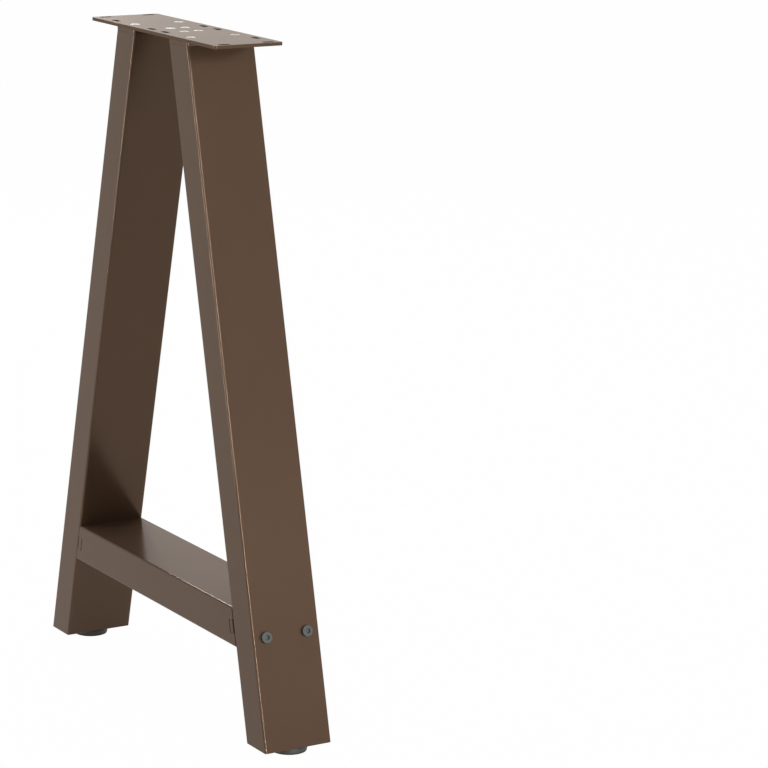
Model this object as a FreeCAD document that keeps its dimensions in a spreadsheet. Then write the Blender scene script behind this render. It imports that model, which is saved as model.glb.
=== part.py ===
"""A-shaped steel leg for a table: two leaning tubes, a cross rail, a top plate and levelling feet.

The frame stands on the floor at Z = 0, with X along the top plate, Y from front to back and
the origin under the middle of the plate. All sizes are millimetres.
"""
import FreeCAD, Part
import math
import os
import re
import Sketcher

Vector = FreeCAD.Vector

# Driving dimensions: name, value and what it measures.
SIZES = {
    "overall_height": (720, "floor to the top of the plate, feet screwed in"),
    "foot_span": (500, "over the outer faces of the tubes at their lower ends"),
    "head_span": (156.2, "over the outer faces of the tubes' line at the plate's underside"),
    "floor_gap": (7, "floor to the tubes' lower ends"),
    "tube_width": (39, "tube section, across the lean"),
    "tube_depth": (78, "tube section, front to back"),
    "tube_wall": (1.5, "tube wall"),
    "tube_corner": (2, "outer corner radius of the tubes"),
    "plate_length": (277, "top plate along X"),
    "plate_overhang": (0.5, "top plate past the tubes, front and back"),
    "plate_thickness": (3.5, "top plate"),
    "plate_corner": (3, "top plate corner radius"),
    "slot_length": (14, "screw slot, end to end"),
    "slot_width": (6, "screw slot"),
    "end_slot_inset": (6.5, "end slots to the plate's short edge"),
    "end_slot_edge": (14, "middle of the end slots to the plate's long edge"),
    "side_slot_edge": (9, "side slots to the plate's long edge"),
    "far_slot_inset": (41.5, "lone side slots to the plate's short edge"),
    "head_plate_thickness": (4, "plate welded over each tube's upper end"),
    "tongue_width": (40, "head plate's tongue, front to back"),
    "tongue_gap": (10, "between the two tongues, at the middle of the frame"),
    "tongue_corner": (5, "corner radius of the tongue"),
    "inner_screw_x": (15, "screws in the tongue, from the middle of the frame"),
    "inner_screw_spacing": (17, "screws in the tongue, front to back"),
    "outer_screw_x": (62, "screws over the tube, from the middle of the frame"),
    "outer_screw_inset": (13, "screws over the tube, from its front and back"),
    "screw_diameter": (6, "plate screw thread"),
    "screw_head": (11, "plate screw head"),
    "screw_rim": (0.3, "straight rim of the countersunk head"),
    "screw_sink": (0.2, "head's top below the plate's top"),
    "screw_length": (8, "plate screw, head included"),
    "screw_key": (4, "hexagon recess of the plate screw, across flats"),
    "screw_key_depth": (2.2, "hexagon recess of the plate screw"),
    "rail_height": (41, "cross rail section"),
    "rail_bottom": (103.5, "floor to the cross rail's underside"),
    "end_plate_thickness": (6, "tapped plate in each end of the rail"),
    "rail_setback": (1.5, "end plate to the leg's face"),
    "tab_height": (14, "tab of the end plate, along the leg"),
    "tab_gap": (1.2, "open notch behind the tab"),
    "bolt_diameter": (8, "rail bolt thread"),
    "bolt_head": (12, "rail bolt head"),
    "bolt_head_height": (4, "rail bolt head"),
    "bolt_head_edge": (0.5, "chamfer of the bolt head"),
    "bolt_length": (50, "rail bolt under its head"),
    "bolt_inset": (15, "rail bolts, from the tube's front and back"),
    "bolt_drop": (12.5, "bolts below the middle of the end plate, along the leg"),
    "bolt_key": (5, "hexagon recess of the rail bolt, across flats"),
    "bolt_key_depth": (2.4, "hexagon recess of the rail bolt"),
    "bottom_plate_thickness": (3, "plate welded in each tube's lower end"),
    "nut_across": (17, "foot nut, across flats"),
    "nut_height": (8, "foot nut"),
    "stud_diameter": (10, "levelling stud thread"),
    "stud_length": (33, "levelling stud"),
    "stud_seat": (3.5, "stud let into the foot's disc"),
    "foot_diameter": (38, "foot's disc"),
    "foot_edge": (1, "chamfer of the disc's upper edge"),
    "foot_clearance": (0.5, "disc to the tube's lower end"),
    "pad_diameter": (37, "pad under the disc"),
    "pad_thickness": (1.5, "pad under the disc"),
    "tip_chamfer": (1, "chamfer on screw, bolt and stud tips"),
    "hole_clearance": (0.3, "a bolt's or screw's side to its clearance hole"),
    "thread_clearance": (0.05, "a thread's side to its tapped hole"),
    "weld_gap": (0.2, "edge of a welded-in plate to the tube's inside"),
}

# Places worked out from the driving dimensions.
PLACES = {
    "plate_underside": "overall_height - plate_thickness",
    "lean": "atan((foot_span - head_span) / 2 / (plate_underside - floor_gap))",
    "tube_top": "plate_underside - head_plate_thickness",
    "tube_rise": "tube_top - floor_gap",
    "tube_length": "tube_rise / cos(lean)",
    "tube_level_width": "tube_width / cos(lean)",
    "tube_inner_corner": "max(tube_corner - tube_wall; tube_wall / 5)",
    "mitre_room": "tube_width * tan(lean) + tube_wall",
    "foot_x": "(foot_span - tube_level_width) / 2",
    "head_x": "foot_x - tube_rise * tan(lean)",
    "plate_depth": "tube_depth + 2 * plate_overhang",
    "outer_screw_y": "tube_depth / 2 - outer_screw_inset",
    "sink_diameter": "screw_head + 2 * (screw_sink + screw_rim + thread_clearance)",
    "rail_middle": "rail_bottom + rail_height / 2",
    "rail_half_length": "foot_x - tube_level_width / 2 - (rail_middle - floor_gap) * tan(lean)",
    "end_plate_x": "rail_half_length - (rail_setback + end_plate_thickness / 2) / cos(lean)",
    "end_plate_along": "(foot_x - end_plate_x) * sin(lean) + (rail_middle - floor_gap) * cos(lean)",
    "bolt_along": "end_plate_along - bolt_drop",
    "bolt_y": "tube_depth / 2 - bolt_inset",
    "nut_seat": "floor_gap + bottom_plate_thickness",
    "disc_top": "floor_gap - foot_clearance",
}

# Places of the plate screws on one side, from the middle of the frame.
SCREW_SPOTS = (("inner_screw_x", "inner_screw_spacing / 2"), ("outer_screw_x", "outer_screw_y"))

document = FreeCAD.newDocument("table_leg")
size_sheet = document.addObject("Spreadsheet::Sheet", "Sizes")
place_sheet = document.addObject("Spreadsheet::Sheet", "Places")


def in_full(formula):
    """Put the sheet's name before each size and place that a formula names."""

    def with_sheet(match):
        word = match.group(0)
        if word in SIZES:
            return "Sizes." + word
        if word in PLACES:
            return "Places." + word
        return word

    return re.sub(r"[A-Za-z_]+", with_sheet, formula)


def fill_sheets():
    """Write the driving dimensions and the places worked out from them."""
    for row, (name, (value, note)) in enumerate(SIZES.items(), start=1):
        size_sheet.set("A%d" % row, name)
        size_sheet.set("B%d" % row, str(value))
        size_sheet.set("C%d" % row, note)
        size_sheet.setAlias("B%d" % row, name)
    document.recompute()
    for row, name in enumerate(PLACES, start=1):
        place_sheet.set("A%d" % row, name)
        place_sheet.setAlias("B%d" % row, name)
    for row, formula in enumerate(PLACES.values(), start=1):
        place_sheet.set("B%d" % row, "=" + in_full(formula))
    document.recompute()


def value_of(formula):
    """Work out a formula of named sizes as a number."""
    result = place_sheet.evalExpression(in_full(formula))
    return float(getattr(result, "Value", result))


def bind(target, property_name, formula):
    """Drive a property by a formula of named sizes."""
    target.setExpression(property_name, in_full(formula))


def add_body(name):
    """Start a sub-part; its label names its file."""
    body = document.addObject("PartDesign::Body", name)
    body.Label = name
    return body


def origin_plane(body, role):
    """Find one of a body's own origin planes."""
    return next(feature for feature in body.Origin.OriginFeatures if feature.Role == role)


def add_sketch(body, name, role, offset=None):
    """Start a sketch on an origin plane, or at a distance from it along its normal."""
    sketch = body.newObject("Sketcher::SketchObject", name)
    sketch.AttachmentSupport = [(origin_plane(body, role), "")]
    sketch.MapMode = "FlatFace"
    if offset:
        bind(sketch, "AttachmentOffset.Base.z", offset)
    return sketch


def dimension(sketch, kind, references, formula):
    """Add a driving dimension to a sketch and bind it to a formula."""
    index = sketch.addConstraint(Sketcher.Constraint(kind, *references, value_of(formula)))
    bind(sketch, "Constraints[%d]" % index, formula)


def draw_outline(sketch, corners):
    """Draw a closed outline of straight lines, each corner placed by two formulas."""
    points = [Vector(value_of(across), value_of(up), 0) for across, up in corners]
    first = sketch.GeometryCount
    lines = range(first, first + len(points))
    for start, end in zip(points, points[1:] + points[:1]):
        sketch.addGeometry(Part.LineSegment(start, end), False)
    for line, (across, up) in zip(lines, corners):
        following = first + (line - first + 1) % len(points)
        sketch.addConstraint(Sketcher.Constraint("Coincident", line, 2, following, 1))
        dimension(sketch, "DistanceX", (-1, 1, line, 1), across)
        dimension(sketch, "DistanceY", (-1, 1, line, 1), up)


def draw_rectangle(sketch, width, height):
    """Draw a rectangle about the sketch's origin."""
    half_width = value_of(width) / 2
    half_height = value_of(height) / 2
    points = [
        Vector(-half_width, -half_height, 0),
        Vector(half_width, -half_height, 0),
        Vector(half_width, half_height, 0),
        Vector(-half_width, half_height, 0),
    ]
    for start, end in zip(points, points[1:] + points[:1]):
        sketch.addGeometry(Part.LineSegment(start, end), False)
    for line in range(4):
        sketch.addConstraint(Sketcher.Constraint("Coincident", line, 2, (line + 1) % 4, 1))
    for level in (0, 2):
        sketch.addConstraint(Sketcher.Constraint("Horizontal", level))
    for upright in (1, 3):
        sketch.addConstraint(Sketcher.Constraint("Vertical", upright))
    sketch.addConstraint(Sketcher.Constraint("Symmetric", 0, 1, 2, 1, -1, 1))
    dimension(sketch, "DistanceX", (0, 1, 0, 2), width)
    dimension(sketch, "DistanceY", (1, 1, 1, 2), height)


def draw_circle(sketch, across, up, diameter):
    """Draw a circle with its centre placed by two formulas."""
    centre = Vector(value_of(across), value_of(up), 0)
    circle = Part.Circle(centre, Vector(0, 0, 1), value_of(diameter) / 2)
    index = sketch.addGeometry(circle, False)
    dimension(sketch, "DistanceX", (-1, 1, index, 3), across)
    dimension(sketch, "DistanceY", (-1, 1, index, 3), up)
    dimension(sketch, "Diameter", (index,), diameter)


def draw_slot(sketch, across, up, runs_across):
    """Draw a round-ended slot about a centre placed by two formulas."""
    reach = "(slot_length - slot_width) / 2"
    step = Vector(1, 0, 0) if runs_across else Vector(0, 1, 0)
    turn = 0 if runs_across else 90
    centre = Vector(value_of(across), value_of(up), 0)
    radius = value_of("slot_width / 2")
    side = FreeCAD.Rotation(Vector(0, 0, 1), 90).multVec(step) * radius
    ends = [centre + step * value_of(reach), centre - step * value_of(reach)]
    first = sketch.GeometryCount
    for end, start_angle in zip(ends, (turn - 90, turn + 90)):
        rim = Part.Circle(end, Vector(0, 0, 1), radius)
        start, stop = math.radians(start_angle), math.radians(start_angle + 180)
        sketch.addGeometry(Part.ArcOfCircle(rim, start, stop), False)
    sketch.addGeometry(Part.LineSegment(ends[0] + side, ends[1] + side), False)
    sketch.addGeometry(Part.LineSegment(ends[1] - side, ends[0] - side), False)
    far, near, upper, lower = range(first, first + 4)
    for before, after in ((far, upper), (upper, near), (near, lower), (lower, far)):
        sketch.addConstraint(Sketcher.Constraint("Tangent", before, 2, after, 1))
    sketch.addConstraint(Sketcher.Constraint("Equal", far, near))
    dimension(sketch, "Radius", (far,), "slot_width / 2")
    for arc, sign in ((far, "+"), (near, "-")):
        shifted = " %s %s" % (sign, reach)
        dimension(sketch, "DistanceX", (-1, 1, arc, 3), across + (shifted if runs_across else ""))
        dimension(sketch, "DistanceY", (-1, 1, arc, 3), up + ("" if runs_across else shifted))


def draw_hexagon(sketch, across_flats):
    """Draw a regular hexagon about the sketch's origin, with a corner on the first axis."""
    corner = across_flats + " / sqrt(3)"
    half_corner = across_flats + " / sqrt(12)"
    half_flat = across_flats + " / 2"
    draw_outline(sketch, [
        (corner, "0"),
        (half_corner, half_flat),
        ("-" + half_corner, half_flat),
        ("-" + corner, "0"),
        ("-" + half_corner, "-" + half_flat),
        (half_corner, "-" + half_flat),
    ])


def pad(body, name, sketch, length, both_ways=False):
    """Raise a sketch into a solid."""
    feature = body.newObject("PartDesign::Pad", name)
    feature.Profile = sketch
    if both_ways:
        feature.SideType = "Symmetric"
    bind(feature, "Length", length)
    document.recompute()
    return feature


def cut_through(body, name, sketch):
    """Cut a sketch right through the solid, both ways."""
    before = body.Shape.Volume
    feature = body.newObject("PartDesign::Pocket", name)
    feature.Profile = sketch
    feature.Type = "ThroughAll"
    feature.SideType = "Symmetric"
    document.recompute()
    assert body.Shape.Volume < before, name + " cuts nothing"
    return feature


def cut_depth(body, name, sketch, depth):
    """Cut a sketch into the solid to a depth, against the sketch's normal."""
    before = body.Shape.Volume
    feature = body.newObject("PartDesign::Pocket", name)
    feature.Profile = sketch
    bind(feature, "Length", depth)
    document.recompute()
    assert body.Shape.Volume < before, name + " cuts nothing"
    return feature


def revolve(body, name, sketch, axis):
    """Turn a half profile about one of its sketch's axes."""
    feature = body.newObject("PartDesign::Revolution", name)
    feature.Profile = sketch
    feature.ReferenceAxis = (sketch, [axis])
    feature.Angle = 360
    document.recompute()
    return feature


def round_edges(body, name, chosen, radius):
    """Round the edges of the solid so far that a test picks out."""
    base = body.Tip
    picked = ["Edge%d" % (index + 1) for index, edge in enumerate(base.Shape.Edges) if chosen(edge)]
    feature = body.newObject("PartDesign::Fillet", name)
    feature.Base = (base, picked)
    bind(feature, "Radius", radius)
    document.recompute()
    return feature


def runs_along(direction):
    """Make a test for straight edges that run along a direction."""

    def test(edge):
        if not isinstance(edge.Curve, Part.Line):
            return False
        return abs(edge.tangentAt(edge.FirstParameter).dot(direction)) > 0.999

    return test


def inside_section(half_width, half_height, first, second):
    """Make a test for points within a section, by two of their coordinates."""

    def test(edge):
        middle = edge.CenterOfMass
        within = abs(getattr(middle, first)) < half_width
        return within and abs(getattr(middle, second)) < half_height

    return test


def outside_depth(half_depth):
    """Make a test for edges at the front and the back of a plate."""

    def test(edge):
        return abs(edge.CenterOfMass.y) > half_depth

    return test


def both(one, other):
    """Make a test that passes where two tests do."""

    def test(edge):
        return one(edge) and other(edge)

    return test


def leg_placement(side, across="0", front_to_back="0", along="0"):
    """Write the placement of a piece that leans with one leg.

    The leg's own Z runs up its middle line from the centre of its lower end, and its own X
    points outwards through the wide face. The left leg is the right one turned half round.
    """
    turn = "rotation(vector(0; 1; 0); -lean)"
    if side == "left":
        turn = "rotation(vector(0; 0; 1); 180) * " + turn
    foot = "-foot_x" if side == "left" else "foot_x"
    stand = "placement(vector(%s; 0; floor_gap); %s)" % (foot, turn)
    shift = "placement(vector(%s; %s; %s); rotation(vector(0; 0; 1); 0))"
    return stand + " * " + shift % (across, front_to_back, along)


def stand_at(body, side, across, height):
    """Stand a level piece on one side of the frame, the left one turned half round."""
    turn = "180" if side == "left" else "0"
    sign = "-" if side == "left" else ""
    place = "placement(vector(%s(%s); 0; %s); rotation(vector(0; 0; 1); %s))"
    bind(body, "Placement", place % (sign, across, height, turn))


def make_leg_tube(side):
    """Make a mitred rectangular tube, cut level at both ends and bored for the rail bolts."""
    body = add_body(side + "_leg_tube")
    section = add_sketch(body, body.Name + "_section", "XY_Plane", "-mitre_room")
    draw_rectangle(section, "tube_width", "tube_depth")
    pad(body, body.Name + "_bar", section, "tube_length + 2 * mitre_room")
    lengthwise = runs_along(Vector(0, 0, 1))
    round_edges(body, body.Name + "_corners", lengthwise, "tube_corner")
    bore = add_sketch(body, body.Name + "_bore", "XY_Plane")
    draw_rectangle(bore, "tube_width - 2 * tube_wall", "tube_depth - 2 * tube_wall")
    cut_through(body, body.Name + "_hollow", bore)
    within = inside_section(
        value_of("tube_width / 2 - tube_wall / 2"), value_of("tube_depth / 2 - tube_wall / 2"), "x", "y")
    round_edges(body, body.Name + "_inner_corners", both(lengthwise, within), "tube_inner_corner")
    ends = add_sketch(body, body.Name + "_ends", "XZ_Plane")
    rise = "tube_width * tan(lean)"
    draw_outline(ends, [
        ("-tube_width", rise),
        ("-tube_width", "-2 * mitre_room"),
        ("tube_width", "-2 * mitre_room"),
        ("tube_width", "-" + rise),
    ])
    draw_outline(ends, [
        ("-tube_width", "tube_length + " + rise),
        ("tube_width", "tube_length - " + rise),
        ("tube_width", "tube_length + 2 * mitre_room"),
        ("-tube_width", "tube_length + 2 * mitre_room"),
    ])
    cut_through(body, body.Name + "_mitres", ends)
    holes = add_sketch(body, body.Name + "_bolt_holes", "YZ_Plane")
    for sign in ("-", ""):
        draw_circle(holes, sign + "bolt_y", "bolt_along", "bolt_diameter + 2 * hole_clearance")
    cut_through(body, body.Name + "_drilling", holes)
    bind(body, "Placement", leg_placement(side))
    return body


def make_head_plate(side):
    """Make the tapped plate over a tube's upper end, with a tongue towards the middle."""
    body = add_body(side + "_head_plate")
    outline = add_sketch(body, body.Name + "_outline", "XY_Plane")
    outer = "head_x + tube_level_width / 2"
    inner = "head_x - tube_level_width / 2"
    draw_outline(outline, [
        (outer, "-tube_depth / 2"),
        (outer, "tube_depth / 2"),
        (inner, "tube_depth / 2"),
        (inner, "tongue_width / 2"),
        ("tongue_gap / 2", "tongue_width / 2"),
        ("tongue_gap / 2", "-tongue_width / 2"),
        (inner, "-tongue_width / 2"),
        (inner, "-tube_depth / 2"),
    ])
    pad(body, body.Name + "_blank", outline, "head_plate_thickness")
    upright = runs_along(Vector(0, 0, 1))
    over_tongue = inside_section(
        value_of("foot_span"), value_of("(tongue_width + tube_depth) / 4"), "x", "y")
    round_edges(body, body.Name + "_tongue_corners", both(upright, over_tongue), "tongue_corner")
    at_tube_corner = outside_depth(value_of("(tongue_width + tube_depth) / 4"))
    round_edges(body, body.Name + "_tube_corners", both(upright, at_tube_corner), "tube_corner")
    holes = add_sketch(body, body.Name + "_tapped_holes", "XY_Plane")
    for across, up in SCREW_SPOTS:
        for sign in ("-", ""):
            draw_circle(holes, across, sign + up, "screw_diameter + 2 * thread_clearance")
    cut_through(body, body.Name + "_tapping", holes)
    stand_at(body, side, "0", "tube_top")
    return body


def make_top_plate():
    """Make the top plate with its slots for wood screws and its countersunk holes."""
    body = add_body("top_plate")
    outline = add_sketch(body, "top_plate_outline", "XY_Plane")
    draw_rectangle(outline, "plate_length", "plate_depth")
    pad(body, "top_plate_blank", outline, "plate_thickness")
    round_edges(body, "top_plate_corners", runs_along(Vector(0, 0, 1)), "plate_corner")
    slots = add_sketch(body, "top_plate_slots", "XY_Plane")
    for across in ("plate_length / 2 - end_slot_inset", "-plate_length / 2 + end_slot_inset"):
        for up in ("plate_depth / 2 - end_slot_edge", "-plate_depth / 2 + end_slot_edge"):
            draw_slot(slots, across, up, runs_across=False)
    back = "plate_depth / 2 - side_slot_edge"
    front = "-plate_depth / 2 + side_slot_edge"
    for up in (back, front):
        for across in ("inner_screw_x", "-inner_screw_x"):
            draw_slot(slots, across, up, runs_across=True)
    draw_slot(slots, "plate_length / 2 - far_slot_inset", back, runs_across=True)
    draw_slot(slots, "-plate_length / 2 + far_slot_inset", front, runs_across=True)
    cut_through(body, "top_plate_slotting", slots)
    centres = add_sketch(body, "top_plate_screw_centres", "XY_Plane", "plate_thickness")
    for across, up in SCREW_SPOTS:
        for across_sign in ("-", ""):
            for up_sign in ("-", ""):
                draw_circle(centres, across_sign + across, up_sign + up, "screw_diameter")
    before = body.Shape.Volume
    holes = body.newObject("PartDesign::Hole", "top_plate_countersinks")
    holes.Profile = centres
    document.recompute()
    holes.DepthType = "ThroughAll"
    holes.HoleCutType = "Countersink"
    holes.HoleCutCustomValues = True
    holes.HoleCutCountersinkAngle = 90
    bind(holes, "Diameter", "screw_diameter + 2 * hole_clearance")
    bind(holes, "HoleCutDiameter", "sink_diameter")
    document.recompute()
    assert body.Shape.Volume < before, "the countersinks cut nothing"
    bind(body, "Placement", "placement(vector(0; 0; plate_underside); rotation(vector(0; 0; 1); 0))")
    return body


def make_plate_screw(side, place, end, across, front_to_back):
    """Make a countersunk screw with a hexagon recess, its origin on top of its head."""
    body = add_body("%s_%s_%s_screw" % (side, place, end))
    profile = add_sketch(body, body.Name + "_profile", "XZ_Plane")
    cone_end = "-screw_rim - (screw_head - screw_diameter) / 2"
    draw_outline(profile, [
        ("0", "0"),
        ("screw_head / 2", "0"),
        ("screw_head / 2", "-screw_rim"),
        ("screw_diameter / 2", cone_end),
        ("screw_diameter / 2", "-screw_length + tip_chamfer"),
        ("screw_diameter / 2 - tip_chamfer", "-screw_length"),
        ("0", "-screw_length"),
    ])
    revolve(body, body.Name + "_turned", profile, "V_Axis")
    recess = add_sketch(body, body.Name + "_recess", "XY_Plane")
    draw_hexagon(recess, "screw_key")
    cut_depth(body, body.Name + "_key", recess, "screw_key_depth")
    place = "placement(vector(%s; %s; overall_height - screw_sink); rotation(vector(0; 0; 1); 0))"
    bind(body, "Placement", place % (across, front_to_back))
    return body


def make_rail_tube():
    """Make the cross rail, its ends cut to the legs' lean and notched for the end plates' tabs."""
    body = add_body("rail_tube")
    outline = add_sketch(body, "rail_tube_outline", "XZ_Plane")
    low_end = "rail_half_length + rail_height / 2 * tan(lean)"
    high_end = "rail_half_length - rail_height / 2 * tan(lean)"
    draw_outline(outline, [
        ("-(%s)" % low_end, "-rail_height / 2"),
        (low_end, "-rail_height / 2"),
        (high_end, "rail_height / 2"),
        ("-(%s)" % high_end, "rail_height / 2"),
    ])
    pad(body, "rail_tube_bar", outline, "tube_depth", both_ways=True)
    lengthwise = runs_along(Vector(1, 0, 0))
    round_edges(body, "rail_tube_corners", lengthwise, "tube_corner")
    bore = add_sketch(body, "rail_tube_bore", "YZ_Plane")
    draw_rectangle(bore, "tube_depth - 2 * tube_wall", "rail_height - 2 * tube_wall")
    cut_through(body, "rail_tube_hollow", bore)
    within = inside_section(
        value_of("tube_depth / 2 - tube_wall / 2"), value_of("rail_height / 2 - tube_wall / 2"), "y", "z")
    round_edges(body, "rail_tube_inner_corners", both(lengthwise, within), "tube_inner_corner")
    notches = add_sketch(body, "rail_tube_notches", "XZ_Plane")
    outwards = "(rail_setback + end_plate_thickness)"
    inwards = "(end_plate_thickness / 2 + tab_gap)"
    half = "(tab_height / 2 + weld_gap)"
    corners = [
        ("end_plate_x + %s * cos(lean) - %s * sin(lean)" % (outwards, half),
         "%s * sin(lean) + %s * cos(lean)" % (outwards, half)),
        ("end_plate_x + %s * cos(lean) + %s * sin(lean)" % (outwards, half),
         "%s * sin(lean) - %s * cos(lean)" % (outwards, half)),
        ("end_plate_x - %s * cos(lean) + %s * sin(lean)" % (inwards, half),
         "-%s * sin(lean) - %s * cos(lean)" % (inwards, half)),
        ("end_plate_x - %s * cos(lean) - %s * sin(lean)" % (inwards, half),
         "-%s * sin(lean) + %s * cos(lean)" % (inwards, half)),
    ]
    draw_outline(notches, corners)
    draw_outline(notches, [("-(%s)" % across, up) for across, up in corners])
    cut_through(body, "rail_tube_notching", notches)
    bind(body, "Placement", "placement(vector(0; 0; rail_middle); rotation(vector(0; 0; 1); 0))")
    return body


def make_rail_end_plate(side):
    """Make the tapped plate inside one end of the rail, with a tab through each side wall."""
    body = add_body(side + "_rail_end_plate")
    outline = add_sketch(body, body.Name + "_outline", "YZ_Plane")
    inner = "(tube_depth / 2 - tube_wall - weld_gap)"
    clear = "(rail_height - 2 * tube_wall - 2 * weld_gap - end_plate_thickness * sin(lean))"
    top = clear + " / cos(lean) / 2"
    draw_outline(outline, [
        ("-" + inner, "-" + top),
        (inner, "-" + top),
        (inner, "-tab_height / 2"),
        ("tube_depth / 2", "-tab_height / 2"),
        ("tube_depth / 2", "tab_height / 2"),
        (inner, "tab_height / 2"),
        (inner, top),
        ("-" + inner, top),
        ("-" + inner, "tab_height / 2"),
        ("-tube_depth / 2", "tab_height / 2"),
        ("-tube_depth / 2", "-tab_height / 2"),
        ("-" + inner, "-tab_height / 2"),
    ])
    pad(body, body.Name + "_blank", outline, "end_plate_thickness", both_ways=True)
    holes = add_sketch(body, body.Name + "_tapped_holes", "YZ_Plane")
    for sign in ("-", ""):
        draw_circle(holes, sign + "bolt_y", "-bolt_drop", "bolt_diameter + 2 * thread_clearance")
    cut_through(body, body.Name + "_tapping", holes)
    across = "-tube_width / 2 - rail_setback - end_plate_thickness / 2"
    bind(body, "Placement", leg_placement(side, across, "0", "end_plate_along"))
    return body


def make_rail_bolt(side, end):
    """Make a low-headed bolt along its own X, its origin under its head."""
    body = add_body("%s_%s_bolt" % (side, end))
    profile = add_sketch(body, body.Name + "_profile", "XZ_Plane")
    draw_outline(profile, [
        ("bolt_head_height", "0"),
        ("bolt_head_height", "bolt_head / 2 - bolt_head_edge"),
        ("bolt_head_height - bolt_head_edge", "bolt_head / 2"),
        ("0", "bolt_head / 2"),
        ("0", "bolt_diameter / 2"),
        ("-bolt_length + tip_chamfer", "bolt_diameter / 2"),
        ("-bolt_length", "bolt_diameter / 2 - tip_chamfer"),
        ("-bolt_length", "0"),
    ])
    revolve(body, body.Name + "_turned", profile, "H_Axis")
    recess = add_sketch(body, body.Name + "_recess", "YZ_Plane", "bolt_head_height")
    draw_hexagon(recess, "bolt_key")
    cut_depth(body, body.Name + "_key", recess, "bolt_key_depth")
    sign = "-" if (side == "left") == (end == "back") else ""
    place = leg_placement(side, "tube_width / 2", sign + "bolt_y", "bolt_along")
    bind(body, "Placement", place)
    return body


def make_bottom_plate(side):
    """Make the plate welded inside a tube's lower end, with a clearance hole for the stud."""
    body = add_body(side + "_bottom_plate")
    outline = add_sketch(body, body.Name + "_outline", "XY_Plane")
    clear = "(tube_width - 2 * tube_wall) / cos(lean)"
    lost = "bottom_plate_thickness * tan(lean)"
    half = "(%s - 2 * weld_gap - %s) / 2" % (clear, lost)
    outer = "%s - %s / 2" % (half, lost)
    inner = "-%s - %s / 2" % (half, lost)
    depth = "(tube_depth / 2 - tube_wall - weld_gap)"
    draw_outline(outline, [
        (inner, "-" + depth),
        (outer, "-" + depth),
        (outer, depth),
        (inner, depth),
    ])
    pad(body, body.Name + "_blank", outline, "bottom_plate_thickness")
    round_edges(body, body.Name + "_corners", runs_along(Vector(0, 0, 1)), "tube_corner")
    hole = add_sketch(body, body.Name + "_stud_hole", "XY_Plane")
    draw_circle(hole, "0", "0", "stud_diameter + 2 * hole_clearance")
    cut_through(body, body.Name + "_drilling", hole)
    stand_at(body, side, "foot_x", "floor_gap")
    return body


def make_foot_nut(side):
    """Make the nut welded on the bottom plate, which the levelling stud turns in."""
    body = add_body(side + "_foot_nut")
    outline = add_sketch(body, body.Name + "_outline", "XY_Plane")
    draw_hexagon(outline, "nut_across")
    pad(body, body.Name + "_blank", outline, "nut_height")
    hole = add_sketch(body, body.Name + "_thread", "XY_Plane")
    draw_circle(hole, "0", "0", "stud_diameter + 2 * thread_clearance")
    cut_through(body, body.Name + "_tapping", hole)
    stand_at(body, side, "foot_x", "nut_seat")
    return body


def make_foot_stud(side):
    """Make the levelling stud, its lower end let into the foot's disc."""
    body = add_body(side + "_foot_stud")
    profile = add_sketch(body, body.Name + "_profile", "XZ_Plane")
    draw_outline(profile, [
        ("0", "0"),
        ("stud_diameter / 2", "0"),
        ("stud_diameter / 2", "stud_length - tip_chamfer"),
        ("stud_diameter / 2 - tip_chamfer", "stud_length"),
        ("0", "stud_length"),
    ])
    revolve(body, body.Name + "_turned", profile, "V_Axis")
    stand_at(body, side, "foot_x", "disc_top - stud_seat")
    return body


def make_foot_disc(side):
    """Make the foot's disc, with a blind seat for the stud and a chamfered upper edge."""
    body = add_body(side + "_foot_disc")
    profile = add_sketch(body, body.Name + "_profile", "XZ_Plane")
    seat = "stud_diameter / 2 + thread_clearance"
    draw_outline(profile, [
        ("0", "pad_thickness"),
        ("foot_diameter / 2", "pad_thickness"),
        ("foot_diameter / 2", "disc_top - foot_edge"),
        ("foot_diameter / 2 - foot_edge", "disc_top"),
        (seat, "disc_top"),
        (seat, "disc_top - stud_seat"),
        ("0", "disc_top - stud_seat"),
    ])
    revolve(body, body.Name + "_turned", profile, "V_Axis")
    stand_at(body, side, "foot_x", "0")
    return body


def make_foot_pad(side):
    """Make the soft pad glued under the foot's disc."""
    body = add_body(side + "_foot_pad")
    outline = add_sketch(body, body.Name + "_outline", "XY_Plane")
    draw_circle(outline, "0", "0", "pad_diameter")
    pad(body, body.Name + "_blank", outline, "pad_thickness")
    stand_at(body, side, "foot_x", "0")
    return body


def make_parts():
    """Make every sub-part of the frame."""
    parts = [make_top_plate(), make_rail_tube()]
    for side in ("left", "right"):
        parts.append(make_leg_tube(side))
        parts.append(make_head_plate(side))
        parts.append(make_bottom_plate(side))
        parts.append(make_foot_nut(side))
        parts.append(make_foot_stud(side))
        parts.append(make_foot_disc(side))
        parts.append(make_foot_pad(side))
        parts.append(make_rail_end_plate(side))
        across_sign = "-" if side == "left" else ""
        for end in ("front", "back"):
            parts.append(make_rail_bolt(side, end))
            sign = "-" if end == "front" else ""
            parts.append(make_plate_screw(
                side, "inner", end, across_sign + "inner_screw_x", sign + "inner_screw_spacing / 2"))
            parts.append(make_plate_screw(
                side, "outer", end, across_sign + "outer_screw_x", sign + "outer_screw_y"))
    return parts


def check_parts(parts):
    """Stop if a feature failed or a sub-part isn't one valid solid."""
    for item in document.Objects:
        bad = [state for state in item.State if state in ("Invalid", "Error")]
        assert not bad, "%s is %s" % (item.Label, bad)
    for part in parts:
        assert not part.Shape.isNull(), part.Label + " has no shape"
        assert part.Shape.isValid(), part.Label + " isn't valid"
        assert len(part.Shape.Solids) == 1, part.Label + " isn't one solid"


def write_parts(parts):
    """Write each sub-part to the file named by its label."""
    os.makedirs("parts", exist_ok=True)
    for part in parts:
        part.Shape.exportStep("parts/%s.step" % part.Label)
        print("%-28s %12.1f mm3" % (part.Label, part.Shape.Volume))


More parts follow.
